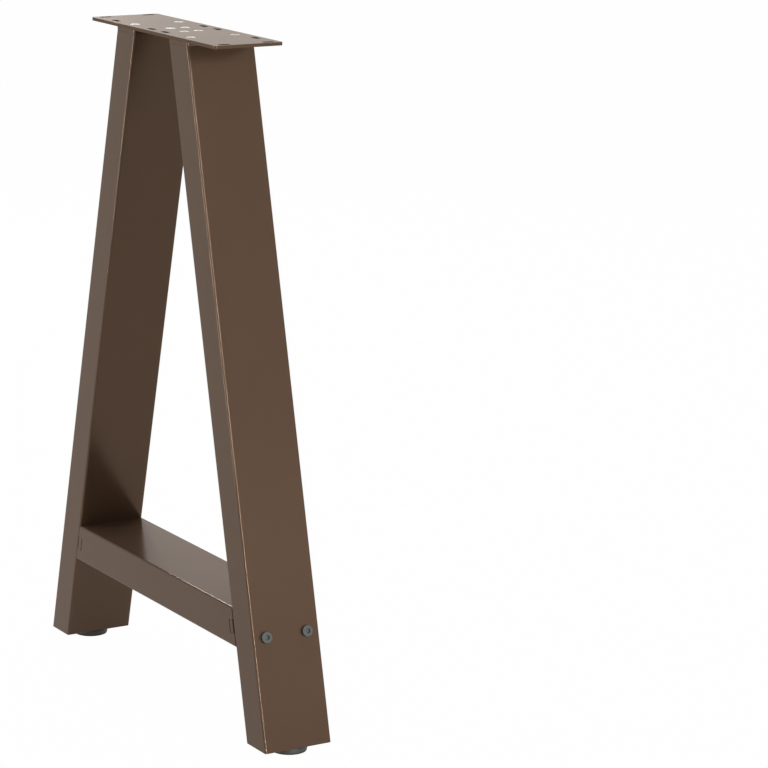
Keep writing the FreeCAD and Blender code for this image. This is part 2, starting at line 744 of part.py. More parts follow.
fill_sheets()
all_parts = make_parts()
document.recompute()
check_parts(all_parts)
write_parts(all_parts)
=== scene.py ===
"""Dressed model of an A-shaped steel table leg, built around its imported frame.

Lengths in the dataclasses are millimetres and scene lengths are metres, both in the frame's own
axes: X runs along the top plate, Y from front to back, and Z = 0 is the floor.
"""
import logging
import math
from collections.abc import Callable, Iterable, Iterator, Mapping
from contextlib import contextmanager
from dataclasses import dataclass
from enum import Enum
from itertools import product

import bpy
from mathutils import Matrix, Vector


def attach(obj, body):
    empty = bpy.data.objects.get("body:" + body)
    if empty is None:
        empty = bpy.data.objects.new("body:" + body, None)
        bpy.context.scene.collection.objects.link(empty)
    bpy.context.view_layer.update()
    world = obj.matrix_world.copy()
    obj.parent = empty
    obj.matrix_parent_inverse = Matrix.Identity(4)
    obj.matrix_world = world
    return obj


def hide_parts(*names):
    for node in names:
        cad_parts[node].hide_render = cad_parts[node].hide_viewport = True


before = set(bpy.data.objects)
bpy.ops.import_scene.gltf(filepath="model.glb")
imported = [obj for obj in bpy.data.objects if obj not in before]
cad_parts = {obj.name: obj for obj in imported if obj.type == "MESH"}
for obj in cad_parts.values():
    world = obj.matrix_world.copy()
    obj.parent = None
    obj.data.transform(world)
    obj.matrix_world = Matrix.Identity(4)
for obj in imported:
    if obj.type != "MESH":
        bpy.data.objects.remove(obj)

logger = logging.getLogger("table_leg")

MM = 0.001
CUT_ROOM = 1.0
TIGHT_MERGE = MM / 1000
SEAM_MERGE = MM / 500
LEVEL_REACH = MM / 100
NEARLY_ALONG = 0.999
NEARLY_LEVEL = 0.01
FLAT_ANGLE = math.radians(0.5)
SMOOTH_ANGLE = math.radians(50)
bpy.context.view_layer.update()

Point = tuple[float, float, float]
Colour = tuple[float, float, float]
Pair = tuple[float, float]
Test = Callable[[Vector, Vector], bool]


def shift(x: float, y: float, z: float) -> Matrix:
    """A move by distances in millimetres."""
    return Matrix.Translation(Vector((x, y, z)) * MM)


def turn_z(degrees: float) -> Matrix:
    """A turn round the Z axis."""
    return Matrix.Rotation(math.radians(degrees), 4, "Z")


class Side(Enum):
    """A side of the frame."""

    RIGHT = "right"
    LEFT = "left"

    @property
    def turn(self) -> Matrix:
        """The turn that takes a piece of the right side to this side."""
        return turn_z(180 if self is Side.LEFT else 0)

    @property
    def sign(self) -> float:
        """The sign of X on this side."""
        return -1.0 if self is Side.LEFT else 1.0


class End(Enum):
    """The front or the back of the frame."""

    FRONT = "front"
    BACK = "back"

    @property
    def sign(self) -> float:
        """The sign of Y at this end."""
        return -1.0 if self is End.FRONT else 1.0


class Cut(Enum):
    """A way to combine two solids."""

    TAKE_AWAY = "DIFFERENCE"
    FUSE = "UNION"


@dataclass(frozen=True)
class FrameSizes:
    """Sizes that several pieces of the frame share, in millimetres."""

    height: float = 720.0
    foot_span: float = 500.0
    head_span: float = 156.2
    floor_gap: float = 7.0
    tube_width: float = 39.0
    tube_depth: float = 78.0
    tube_wall: float = 1.5
    tube_corner: float = 2.0
    inner_corner: float = 0.5
    plate_thickness: float = 3.5
    head_plate_thickness: float = 4.0
    rail_height: float = 41.0
    rail_bottom: float = 103.5
    end_plate_thickness: float = 6.0
    rail_setback: float = 1.5
    bolt_inset: float = 15.0
    bolt_drop: float = 12.5
    screw_sink: float = 0.2

    @property
    def lean(self) -> float:
        """Lean of the legs from upright, in radians."""
        rise = self.height - self.plate_thickness - self.floor_gap
        return math.atan((self.foot_span - self.head_span) / 2 / rise)

    @property
    def tube_top(self) -> float:
        """Height of the tubes' upper ends."""
        return self.height - self.plate_thickness - self.head_plate_thickness

    @property
    def tube_length(self) -> float:
        """Length of a tube along its middle line."""
        return (self.tube_top - self.floor_gap) / math.cos(self.lean)

    @property
    def foot_x(self) -> float:
        """Middle of a tube's lower end, from the middle of the frame."""
        return (self.foot_span - self.tube_width / math.cos(self.lean)) / 2

    @property
    def rail_middle(self) -> float:
        """Height of the cross rail's middle line."""
        return self.rail_bottom + self.rail_height / 2

    @property
    def rail_half_length(self) -> float:
        """Half the cross rail's length at its middle height."""
        level_half = self.tube_width / math.cos(self.lean) / 2
        return self.foot_x - level_half - (self.rail_middle - self.floor_gap) * math.tan(self.lean)

    @property
    def end_plate_x(self) -> float:
        """Middle of the rail's end plate, from the middle of the frame."""
        back_off = self.rail_setback + self.end_plate_thickness / 2
        return self.rail_half_length - back_off / math.cos(self.lean)

    @property
    def bolt_along(self) -> float:
        """Place of the rail bolts along a leg, from its lower end."""
        across = (self.foot_x - self.end_plate_x) * math.sin(self.lean)
        return across + (self.rail_middle - self.floor_gap) * math.cos(self.lean) - self.bolt_drop

    @property
    def bolt_y(self) -> float:
        """Place of the rail bolts, in front of and behind the middle."""
        return self.tube_depth / 2 - self.bolt_inset

    def leg_axes(self) -> Matrix:
        """Place of the right leg's own axes: origin at its lower end, Z up its middle line."""
        stand = shift(self.foot_x, 0, self.floor_gap)
        return stand @ Matrix.Rotation(-self.lean, 4, "Y")


class Signal:
    """A shader socket that takes part in Python arithmetic."""

    def __init__(self, shader: "Shader", socket: bpy.types.NodeSocket) -> None:
        """Wrap a socket of a shader."""
        self.shader = shader
        self.socket = socket

    def _math(self, operation: str, first: "Signal | float", second: "Signal | float") -> "Signal":
        """Add one Math node."""
        return self.shader.node("ShaderNodeMath", {"operation": operation}, {0: first, 1: second})

    def __add__(self, other: "Signal | float") -> "Signal":
        """Add a value."""
        return self._math("ADD", self, other)

    __radd__ = __add__

    def __sub__(self, other: "Signal | float") -> "Signal":
        """Take a value away."""
        return self._math("SUBTRACT", self, other)

    def __rsub__(self, other: float) -> "Signal":
        """Take away from a number."""
        return self._math("SUBTRACT", other, self)

    def __mul__(self, other: "Signal | float") -> "Signal":
        """Multiply by a value."""
        return self._math("MULTIPLY", self, other)

    def larger(self, other: "Signal") -> "Signal":
        """Take the larger of two values."""
        return self._math("MAXIMUM", self, other)

    def within(self, middle: float, reach: float) -> "Signal":
        """Test whether the value's size lies near a middle.

        Args:
            middle: The middle of the range.
            reach: How far the range goes to either side.

        Returns:
            One inside the range and zero outside.
        """
        settings = {"operation": "COMPARE"}
        size = self._math("ABSOLUTE", self, 0.0)
        return self.shader.node("ShaderNodeMath", settings, {0: size, 1: middle, 2: reach})


class Shader:
    """A node tree, written as expressions."""

    def __init__(self, owner: bpy.types.Material | bpy.types.World) -> None:
        """Start with an empty tree.

        Args:
            owner: The material or the surroundings that the tree belongs to.
        """
        owner.use_nodes = True
        self.owner = owner
        self.tree = owner.node_tree
        self.tree.nodes.clear()

    @classmethod
    def material(cls, name: str) -> "Shader":
        """Start a new material."""
        return cls(bpy.data.materials.new(name))

    def node(
        self,
        kind: str,
        settings: Mapping[str, object] | None = None,
        sockets: Mapping[int | str, object] | None = None,
        output: int | str = 0,
    ) -> Signal:
        """Add a node, set it up and connect it.

        Args:
            kind: The node's type.
            settings: Its settings, such as a Math node's operation.
            sockets: Values or signals of its inputs, by name or index.
            output: The output that is handed back.

        Returns:
            The chosen output.
        """
        made = self.tree.nodes.new(kind)
        for name, value in (settings or {}).items():
            setattr(made, name, value)
        for key, value in (sockets or {}).items():
            if isinstance(value, Signal):
                self.tree.links.new(value.socket, made.inputs[key])
            else:
                made.inputs[key].default_value = value
        return Signal(self, made.outputs[output] if len(made.outputs) else None)

    def place(self) -> Signal:
        """The surface point in the frame's own axes."""
        return self.node("ShaderNodeTexCoord", output="Object")

    def axis(self, point: Signal, name: str) -> Signal:
        """One coordinate of a point."""
        return self.node("ShaderNodeSeparateXYZ", None, {"Vector": point}, name)

    def scaled(self, point: Signal, scale: Point) -> Signal:
        """A point stretched along the three axes."""
        return self.node("ShaderNodeMapping", None, {"Vector": point, "Scale": scale})

    def noise(self, point: Signal, scale: float, detail: float = 2.0) -> Signal:
        """Soft noise from 0 to 1, with so many blobs in a metre and so many finer layers."""
        values = {"Vector": point, "Scale": scale, "Detail": detail, "Roughness": 0.5}
        return self.node("ShaderNodeTexNoise", None, values, "Fac")

    def between(self, factor: Signal, first: Colour | Signal, second: Colour | Signal) -> Signal:
        """Mix two colours.

        Args:
            factor: Zero for the first colour and one for the second.
            first: The first colour.
            second: The second colour.

        Returns:
            The mixed colour.
        """
        pair = [end if isinstance(end, Signal) else (*end, 1) for end in (first, second)]
        values = {0: factor, 6: pair[0], 7: pair[1]}
        return self.node("ShaderNodeMix", {"data_type": "RGBA"}, values, 2)

    def mottled(self, colour: Colour, spread: float, tone: Signal) -> Signal:
        """Vary a colour.

        Args:
            colour: The middle colour.
            spread: The share by which it gets darker and lighter.
            tone: Zero for the darker and one for the lighter tone.

        Returns:
            The colour.
        """
        factors = (1 - spread, 1 + spread)
        dark, light = (tuple(channel * factor for channel in colour) for factor in factors)
        return self.between(tone, dark, light)

    def bump(self, height: Signal, strength: float, depth: float) -> Signal:
        """The surface normal, bent by a relief of a depth in metres."""
        values = {"Height": height, "Strength": strength, "Distance": depth}
        return self.node("ShaderNodeBump", None, values)

    def surface(self, sockets: Mapping[int | str, object]) -> bpy.types.Material:
        """Close the material with one shader.

        Args:
            sockets: Values and signals of the shader's inputs.

        Returns:
            The finished material.
        """
        body = self.node("ShaderNodeBsdfPrincipled", None, sockets)
        self.node("ShaderNodeOutputMaterial", None, {"Surface": body})
        return self.owner


@dataclass(frozen=True)
class SatinPaint:
    """Satin powder coat with a metal shimmer and a fine peel, on steel."""

    name: str = "satin_brown_powder_coat"
    colour: Colour = (0.148, 0.092, 0.060)
    spread: float = 0.05
    shimmer: float = 0.26
    roughness: float = 0.20
    roughness_spread: float = 0.04
    cloud_share: float = 0.6
    peel_share: float = 0.7
    peel_strength: float = 0.5
    specular: float = 0.13
    edge_tint: Colour = (1.0, 0.91, 0.81)
    cloud_scale: float = 9.0
    streak_scale: Point = (70.0, 70.0, 3.0)
    peel_scale: float = 620.0
    grain_scale: float = 2600.0
    peel_depth: float = 0.00003

    def colours(self, shader: Shader, place: Signal, tone: Signal) -> Signal:
        """Vary the coat's colour with its tone, alike at every place."""
        return shader.mottled(self.colour, self.spread, tone)

    def make(self) -> bpy.types.Material:
        """Build the material.

        Returns:
            The finished material.
        """
        shader = Shader.material(self.name)
        place = shader.place()
        cloud = shader.noise(place, self.cloud_scale, detail=3.0)
        streak = shader.noise(shader.scaled(place, self.streak_scale), scale=1.0)
        peel = shader.noise(place, self.peel_scale)
        grain = shader.noise(place, self.grain_scale, detail=1.0)
        height = peel * self.peel_share + grain * (1 - self.peel_share)
        tone = cloud * self.cloud_share + streak * (1 - self.cloud_share)
        return shader.surface({
            "Base Color": self.colours(shader, place, tone),
            "Metallic": self.shimmer,
            "Roughness": self.roughness + (cloud - 0.5) * (2 * self.roughness_spread),
            "Specular IOR Level": self.specular,
            "Specular Tint": (*self.edge_tint, 1),
            "Normal": shader.bump(height, self.peel_strength, self.peel_depth),
        })


@dataclass(frozen=True)
class SlottedPaint(SatinPaint):
    """The same coat on the top plate, with painted shade: the walls of the slots are painted
    near-black.

    Each pair is the middle of a range and its reach to either side, in metres.
    """

    name: str = "satin_brown_powder_coat_slotted"
    specular: float = 0.06
    edge_tint: Colour = (1.0, 0.84, 0.66)
    # Near-black colour of the slot walls: painted shade inside the slots.
    painted_slot_shade: Colour = (0.020, 0.014, 0.010)
    side_slots: tuple[Pair, Pair] = ((0.060, 0.050), (0.0305, 0.0036))
    end_slots: tuple[Pair, Pair] = ((0.132, 0.0036), (0.0255, 0.0076))
    outer_screws: Pair = (0.062, 0.009)
    wall: Pair = (0.71825, 0.0016)

    def colours(self, shader: Shader, place: Signal, tone: Signal) -> Signal:
        """Choose the coat's colour, painted near-black on the walls of the slots as painted shade.

        Args:
            shader: The node tree.
            place: The point.
            tone: Zero for the darker and one for the lighter tone.

        Returns:
            The colour.
        """
        across, along, height = (shader.axis(place, name) for name in "XYZ")
        sides, ends = (
            across.within(*spread) * along.within(*depth)
            for spread, depth in (self.side_slots, self.end_slots))
        slots = (sides * (1 - across.within(*self.outer_screws))).larger(ends)
        coat = super().colours(shader, place, tone)
        # The slot walls get the near-black colour: painted shade inside the slots.
        return shader.between(slots * height.within(*self.wall), coat, self.painted_slot_shade)


@dataclass(frozen=True)
class GrainedFinish:
    """Moulded plastic or rubber with a fine spark-eroded grain."""

    name: str
    colour: Colour
    roughness: float
    metallic: float = 0.0
    spread: float = 0.08
    patch_scale: float = 60.0
    roughness_range: float = 0.1
    grain_scale: float = 1800.0
    grain_detail: float = 3.0
    grain_strength: float = 0.5
    grain_depth: float = 0.00004

    def make(self) -> bpy.types.Material:
        """Build the material.

        Returns:
            The finished material.
        """
        shader = Shader.material(self.name)
        place = shader.place()
        grain = shader.noise(place, self.grain_scale, self.grain_detail)
        patch = shader.noise(place, self.patch_scale)
        return shader.surface({
            "Base Color": shader.mottled(self.colour, self.spread, patch),
            "Metallic": self.metallic,
            "Roughness": self.roughness + (grain - 0.5) * self.roughness_range,
            "Normal": shader.bump(grain, self.grain_strength, self.grain_depth),
        })


@dataclass(frozen=True)
class MetalFinish(GrainedFinish):
    """Bare or plated metal with fine tool marks."""

    metallic: float = 1.0
    patch_scale: float = 150.0
    roughness_range: float = 0.12
    grain_scale: float = 900.0
    grain_detail: float = 4.0
    grain_strength: float = 0.4
    grain_depth: float = 0.00001


class Finish(Enum):
    """The finishes of the object."""

    FRAME_PAINT = "frame_paint"
    PLATE_PAINT = "plate_paint"
    BRIGHT_STEEL = "bright_steel"
    ZINC_STEEL = "zinc_steel"
    BLACK_STEEL = "black_steel"
    FOOT_PLASTIC = "foot_plastic"
    PAD_RUBBER = "pad_rubber"

    @property
    def slot(self) -> str:
        """The material slot that the finish belongs to."""
        return "frame_paint" if self is Finish.PLATE_PAINT else self.value


class PaintShop:
    """Makes each finish once and puts it on pieces."""

    RECIPES: Mapping[Finish, SatinPaint | GrainedFinish] = {
        Finish.FRAME_PAINT: SatinPaint(),
        Finish.PLATE_PAINT: SlottedPaint(),
        Finish.BRIGHT_STEEL: MetalFinish("bright_zinc_plate", (0.62, 0.60, 0.55), 0.36, 0.6),
        Finish.ZINC_STEEL: MetalFinish("dull_zinc_plate", (0.55, 0.56, 0.57), 0.38),
        Finish.BLACK_STEEL: MetalFinish("blued_steel", (0.066, 0.074, 0.072), 0.50, 0.35),
        Finish.FOOT_PLASTIC: GrainedFinish("grey_foot_plastic", (0.060, 0.060, 0.053), 0.55),
        Finish.PAD_RUBBER: GrainedFinish("black_pad_rubber", (0.016, 0.016, 0.016), 0.80),
    }

    def __init__(self) -> None:
        """Mix every finish."""
        self.materials = {finish: recipe.make() for finish, recipe in self.RECIPES.items()}

    def dress(self, piece: bpy.types.Object, finish: Finish) -> None:
        """Give a piece one finish all over."""
        piece.data.materials.clear()
        piece.data.materials.append(self.materials[finish])


class Workpiece:
    """One mesh on the bench, shaped by hand operations.

    A thread's depth and the ends of its flanks are shares of its pitch.
    """

    TURNED_SIDES = 48
    THREAD_DEPTH = 0.6
    THREAD_FLANKS = (0.4, 0.52, 0.92)
    THREAD_STEPS = 20
    SPARE_TURNS = 3

    def __init__(self, shape: bpy.types.Object) -> None:
        """Take a mesh object on the bench."""
        self.shape = shape

    @classmethod
    def block(cls, low: Point, high: Point) -> "Workpiece":
        """Start from a cube stretched between two corners.

        Args:
            low: Its lowest corner, in millimetres.
            high: Its highest corner, in millimetres.

        Returns:
            The new piece.
        """
        first, second = Vector(low) * MM, Vector(high) * MM
        bpy.ops.mesh.primitive_cube_add(size=1, location=(first + second) / 2, scale=second - first)
        return cls(bpy.context.object).settle()

    @classmethod
    def rod(cls, radius: float, bottom: float, top: float, sides: int) -> "Workpiece":
        """Start from an upright cylinder on the Z axis.

        Args:
            radius: Its radius, in millimetres.
            bottom: Height of its lower end.
            top: Height of its upper end.
            sides: How many faces go round it.

        Returns:
            The new piece.
        """
        bpy.ops.mesh.primitive_cylinder_add(
            vertices=sides, radius=radius * MM, depth=(top - bottom) * MM,
            location=(0, 0, (top + bottom) / 2 * MM))
        return cls(bpy.context.object).settle()

    @classmethod
    def line(cls, points: Iterable[Pair]) -> "Workpiece":
        """Draw an open line in the XZ plane by extruding one vertex.

        Args:
            points: Distance from the Z axis and height of each point, in millimetres.

        Returns:
            The new piece.
        """
        places = [Vector((across, 0, up)) * MM for across, up in points]
        bpy.ops.mesh.primitive_plane_add(size=MM, location=places[0])
        drawn = cls(bpy.context.object).settle()
        with drawn.editing():
            bpy.ops.mesh.merge(type="CENTER")
            for before, after in zip(places, places[1:]):
                bpy.ops.mesh.extrude_region_move(TRANSFORM_OT_translate={"value": after - before})
        return drawn

    @classmethod
    def turned(cls, points: Iterable[Pair]) -> "Workpiece":
        """Turn a half profile round the Z axis.

        Args:
            points: The profile, from one point on the axis to another.

        Returns:
            The new piece.
        """
        made = cls.line(points)
        with made.editing():
            bpy.ops.mesh.spin(
                steps=cls.TURNED_SIDES, angle=2 * math.pi, center=(0, 0, 0), axis=(0, 0, 1))
        return made.close_up()

    @classmethod
    def thread(cls, radius: float, pitch: float, bottom: float, top: float) -> "Workpiece":
        """Make a screw thread on the Z axis, cut level at both ends.

        Args:
            radius: Outer radius of the thread, in millimetres.
            pitch: Rise of one turn.
            bottom: Height of its lower end.
            top: Height of its upper end.

        Returns:
            The new piece.
        """
        root = radius - cls.THREAD_DEPTH * pitch
        start = bottom - pitch
        crest, crest_end, foot = (start + share * pitch for share in cls.THREAD_FLANKS)
        made = cls.line([
            (root, start), (radius, crest), (radius, crest_end), (root, foot), (root, start + pitch)])
        made.modify("SCREW", {
            "axis": "Z",
            "screw_offset": pitch * MM,
            "iterations": math.ceil((top - bottom) / pitch) + cls.SPARE_TURNS,
            "steps": cls.THREAD_STEPS,
            "render_steps": cls.THREAD_STEPS,
        })
        made.close_up()
        made.trim((0, 0, top), (0, 0, 1))
        made.trim((0, 0, bottom), (0, 0, -1))
        return made.close_up()

    @classmethod
    def copy_of(cls, node: str) -> "Workpiece":
        """Start from a copy of a node's mesh, its loose triangles merged.

        Args:
            node: The node's name.

        Returns:
            The new piece.
        """
        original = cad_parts[node]
        copied = bpy.data.objects.new(node + "_copy", original.data.copy())
        bpy.context.scene.collection.objects.link(copied)
        made = cls(copied)
        with made.editing():
            bpy.ops.mesh.remove_doubles(threshold=TIGHT_MERGE)
            bpy.ops.mesh.dissolve_limited(angle_limit=FLAT_ANGLE)
        return made

    def take_up(self) -> None:
        """Select this piece alone and make it the active one."""
        bpy.ops.object.select_all(action="DESELECT")
        self.shape.select_set(True)
        bpy.context.view_layer.objects.active = self.shape

    @contextmanager
    def editing(self, picked: bool = False) -> Iterator[None]:
        """Work on the piece in edit mode.

        Args:
            picked: Whether only its picked edges are worked on, and not all of it.

        Yields:
            Nothing; the block inside runs with the piece in edit mode.
        """
        self.take_up()
        bpy.context.tool_settings.mesh_select_mode = (not picked, picked, False)
        bpy.ops.object.mode_set(mode="EDIT")
        if not picked:
            bpy.ops.mesh.select_all(action="SELECT")
        try:
            yield
        finally:
            bpy.ops.object.mode_set(mode="OBJECT")

    def settle(self) -> "Workpiece":
        """Put the object's place, turn and size into its mesh.

        Returns:
            The same piece.
        """
        self.take_up()
        bpy.ops.object.transform_apply(location=True, rotation=True, scale=True)
        return self

    def stand(self, place: Matrix) -> "Workpiece":
        """Move the piece as a whole and return it."""
        self.shape.matrix_world = place @ self.shape.matrix_world
        return self.settle()

    def close_up(self) -> "Workpiece":
        """Merge seams and poles and turn every face outwards.

        Returns:
            The same piece.
        """
        with self.editing():
            bpy.ops.mesh.remove_doubles(threshold=SEAM_MERGE)
            bpy.ops.mesh.normals_make_consistent(inside=False)
        return self

    def round_edges(self, chosen: Test, radius: float, segments: int) -> None:
        """Bevel the edges that a test picks out.

        Args:
            chosen: Takes an edge's middle and its direction, in metres.
            radius: Width of the bevel, in millimetres.
            segments: How many faces make up the rounding.
        """
        mesh = self.shape.data
        for group in (mesh.vertices, mesh.edges, mesh.polygons):
            group.foreach_set("select", [False] * len(group))
        for edge in mesh.edges:
            first, second = (mesh.vertices[index].co for index in edge.vertices)
            edge.select = chosen((first + second) / 2, (second - first).normalized())
        with self.editing(picked=True):
            bpy.ops.mesh.bevel(offset=radius * MM, segments=segments, affect="EDGES", profile=0.5)

    def trim(self, point: Point, outwards: Point) -> None:
        """Cut the piece off at a plane and close the cut.

        Args:
            point: A point of the plane, in millimetres.
            outwards: The plane's normal, on the side that goes.
        """
        with self.editing():
            bpy.ops.mesh.bisect(
                plane_co=Vector(point) * MM, plane_no=outwards, use_fill=True, clear_outer=True)

    def modify(self, kind: str, settings: Mapping[str, object]) -> None:
        """Add a modifier and apply it.

        Args:
            kind: The modifier's type.
            settings: Its settings.
        """
        modifier = self.shape.modifiers.new(kind.lower(), kind)
        for name, value in settings.items():
            setattr(modifier, name, value)
        self.take_up()
        bpy.ops.object.modifier_apply(modifier=modifier.name)

    def combine(self, tool: "Workpiece", how: Cut) -> None:
        """Cut or fuse another piece, which is used up.

        Args:
            tool: The other piece.
            how: Whether it is taken away or fused.
        """
        settings = {"operation": how.value, "solver": "EXACT", "object": tool.shape}
        self.modify("BOOLEAN", settings)
        bpy.data.objects.remove(tool.shape)

    def join(self, other: "Workpiece") -> None:
        """Take in another piece's mesh as it is, which uses that piece up."""
        self.take_up()
        other.shape.select_set(True)
        bpy.ops.object.join()

    def duplicate(self) -> "Workpiece":
        """Copy the piece with a mesh of its own.

        Returns:
            The new piece.
        """
        copied = self.shape.copy()
        copied.data = self.shape.data.copy()
        bpy.context.scene.collection.objects.link(copied)
        return Workpiece(copied)

    def soften(self, width: float, segments: int = 2, sharper_than: float = 35.0) -> "Workpiece":
        """Break the sharp edges and even out the shading.

        Args:
            width: Width of the broken edges, in millimetres.
            segments: How many faces make up each.
            sharper_than: Only edges sharper than this angle, in degrees.

        Returns:
            The same piece.
        """
        self.modify("BEVEL", {
            "width": width * MM,
            "segments": segments,
            "limit_method": "ANGLE",
            "angle_limit": math.radians(sharper_than),
        })
        return self.shade_evenly()

    def shade_evenly(self) -> "Workpiece":
        """Shade curved faces smooth and keep flat faces flat.

        Returns:
            The same piece.
        """
        self.take_up()
        bpy.ops.object.shade_smooth_by_angle(angle=SMOOTH_ANGLE)
        self.modify("WEIGHTED_NORMAL", {"mode": "FACE_AREA", "keep_sharp": True})
        return self


@dataclass
class SubAssembly:
    """A group of pieces that are made and dressed together."""

    sizes: FrameSizes
    paint_shop: PaintShop

    def hand_over(
        self, piece: Workpiece, name: str, body: str, finish: Finish, *nodes: str
    ) -> None:
        """Name and dress a finished piece and put it on its body.

        Args:
            piece: The finished piece.
            name: Its name.
            body: The body that it rides on.
            finish: Its finish.
            nodes: The nodes that it stands for.
        """
        shape = piece.shape
        shape.name = name
        shape.data.name = name
        self.paint_shop.dress(shape, finish)
        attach(shape, body)
        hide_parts(*nodes)
        finish.slot
        logger.info("%s: %d faces on %s", name, len(shape.data.polygons), body)

    def refine(self, node: str, manner: str, finish: Finish, edge: float) -> None:
        """Break the edges of a node's own shape, in millimetres, and hand it over."""
        piece = Workpiece.copy_of(node).soften(edge)
        self.hand_over(piece, node + manner, "frame", finish, node)

    def hand_out(
        self, model: Workpiece, manner: str, finish: Finish, places: Iterable[tuple[str, str, Matrix]]
    ) -> None:
        """Hand over a copy of a model at each place and use the model up.

        Args:
            model: The model.
            manner: The end of each copy's name.
            finish: The copies' finish.
            places: Node, body and place of each copy.
        """
        for node, body, place in places:
            copied = model.duplicate().stand(place)
            self.hand_over(copied, node + manner, body, finish, node)
        bpy.data.objects.remove(model.shape)


def runs_along(axis: str) -> Test:
    """Make a test for edges that run along the x, y or z axis."""
    return lambda middle, direction: abs(getattr(direction, axis)) > NEARLY_ALONG


def lies_at_height(height: float) -> Test:
    """Make a test for edges that lie level at a height in millimetres."""
    return lambda middle, direction: (
        abs(middle.z - height * MM) < LEVEL_REACH and abs(direction.z) < NEARLY_LEVEL)


@dataclass
class TopPlate(SubAssembly):
    """The slotted top plate with its countersunk screws."""

    length: float = 277.0
    overhang: float = 0.5
    corner: float = 3.0
    plate_edge: float = 0.2
    slot_length: float = 14.0
    slot_width: float = 6.0
    end_slot: Pair = (132.0, 25.5)
    side_slot: Pair = (15.0, 30.5)
    far_slot: Pair = (97.0, 30.5)
    sink_radius: float = 6.05
    hole_radius: float = 3.3
    inner_screw: Pair = (15.0, 8.5)
    outer_screw: Pair = (62.0, 26.0)
    screw_head: float = 11.0
    screw_radius: float = 3.0
    screw_rim: float = 0.3
    screw_length: float = 8.0
    screw_pitch: float = 1.0
    key_across: float = 4.0
    key_depth: float = 2.2
    round_share: float = 0.999
    screw_edge: float = 0.08
    head_edge: Pair = (0.15, 0.1)
    neck: float = 0.4
    neck_overlap: float = 0.2
    first_turn: float = 17.0
    turn_step: float = 37.0

    def slot_places(self) -> list[tuple[float, float, float]]:
        """Find where each slot goes.

        Returns:
            The two coordinates of its middle and its turn from the X axis, in degrees.
        """
        places = [
            (x * slot[0], y * slot[1], degrees)
            for slot, degrees in ((self.end_slot, 90.0), (self.side_slot, 0.0))
            for x in (-1, 1) for y in (-1, 1)]
        far_x, far_y = self.far_slot
        return places + [(-far_x, -far_y, 0.0), (far_x, far_y, 0.0)]

    def screw_places(self) -> Iterator[tuple[str, float, float]]:
        """Find where each screw goes.

        Yields:
            Each screw's name and its two coordinates.
        """
        spots = (("inner", *self.inner_screw), ("outer", *self.outer_screw))
        for side, end, (place, x, y) in product(Side, End, spots):
            name = "%s_%s_%s_screw" % (side.value, place, end.value)
            yield name, side.sign * x, end.sign * y

    def slot_cutter(self, x: float, y: float, degrees: float) -> Workpiece:
        """Make the round-ended block that cuts one slot.

        Args:
            x: The middle of the slot along the plate.
            y: The middle of the slot across the plate.
            degrees: How far the slot is turned.

        Returns:
            The cutter.
        """
        reach = self.slot_length / 2
        half = self.slot_width / 2
        bottom = self.sizes.height - self.sizes.plate_thickness - CUT_ROOM
        top = self.sizes.height + CUT_ROOM
        cutter = Workpiece.block((-reach, -half, bottom), (reach, half, top))
        cutter.round_edges(runs_along("z"), half * self.round_share, 7)
        return cutter.stand(shift(x, y, 0) @ turn_z(degrees))

    def countersink_cutter(self) -> Workpiece:
        """Make the turned cutter of one countersunk hole on the Z axis.

        Returns:
            The cutter.
        """
        top = self.sizes.height
        bottom = top - self.sizes.plate_thickness - CUT_ROOM
        return Workpiece.turned([
            (0, bottom),
            (self.hole_radius, bottom),
            (self.hole_radius, top - self.sink_radius + self.hole_radius),
            (self.sink_radius, top),
            (self.sink_radius, top + CUT_ROOM),
            (0, top + CUT_ROOM),
        ])

    def build_plate(self) -> None:
        """Make the plate with its slots and countersunk holes."""
        half = self.sizes.tube_depth / 2 + self.overhang
        low = (-self.length / 2, -half, self.sizes.height - self.sizes.plate_thickness)
        plate = Workpiece.block(low, (self.length / 2, half, self.sizes.height))
        plate.round_edges(runs_along("z"), self.corner, 6)
        for x, y, degrees in self.slot_places():
            plate.combine(self.slot_cutter(x, y, degrees), Cut.TAKE_AWAY)
        cutter = self.countersink_cutter()
        for _, x, y in self.screw_places():
            plate.combine(cutter.duplicate().stand(shift(x, y, 0)), Cut.TAKE_AWAY)
        bpy.data.objects.remove(cutter.shape)
        plate.soften(self.plate_edge)
        self.hand_over(plate, "slotted_top_plate", "frame", Finish.PLATE_PAINT, "top_plate")

    def model_screw(self) -> Workpiece:
        """Make one countersunk screw, its origin on top of its head.

        Returns:
            The screw, upright at the origin.
        """
        rim = self.screw_head / 2
        cone_end = -self.screw_rim - (rim - self.screw_radius)
        root = self.screw_radius - Workpiece.THREAD_DEPTH * self.screw_pitch
        screw = Workpiece.turned([
            (0, 0),
            (rim - self.head_edge[0], 0),
            (rim, -self.head_edge[1]),
            (rim, -self.screw_rim),
            (self.screw_radius, cone_end),
            (root, cone_end - self.neck),
            (0, cone_end - self.neck),
        ])
        key = Workpiece.rod(self.key_across / math.sqrt(3), -self.key_depth, CUT_ROOM, 6)
        screw.combine(key, Cut.TAKE_AWAY)
        top = cone_end - self.neck_overlap
        screw.join(Workpiece.thread(self.screw_radius, self.screw_pitch, -self.screw_length, top))
        return screw.soften(self.screw_edge, segments=1, sharper_than=50)

    def build_screws(self) -> None:
        """Put a screw in each countersunk hole, each turned as it happened to end up."""
        top = self.sizes.height - self.sizes.screw_sink
        places = (
            (name, "frame", shift(x, y, top) @ turn_z(self.first_turn + self.turn_step * index))
            for index, (name, x, y) in enumerate(self.screw_places()))
        self.hand_out(self.model_screw(), "_turned", Finish.BRIGHT_STEEL, places)


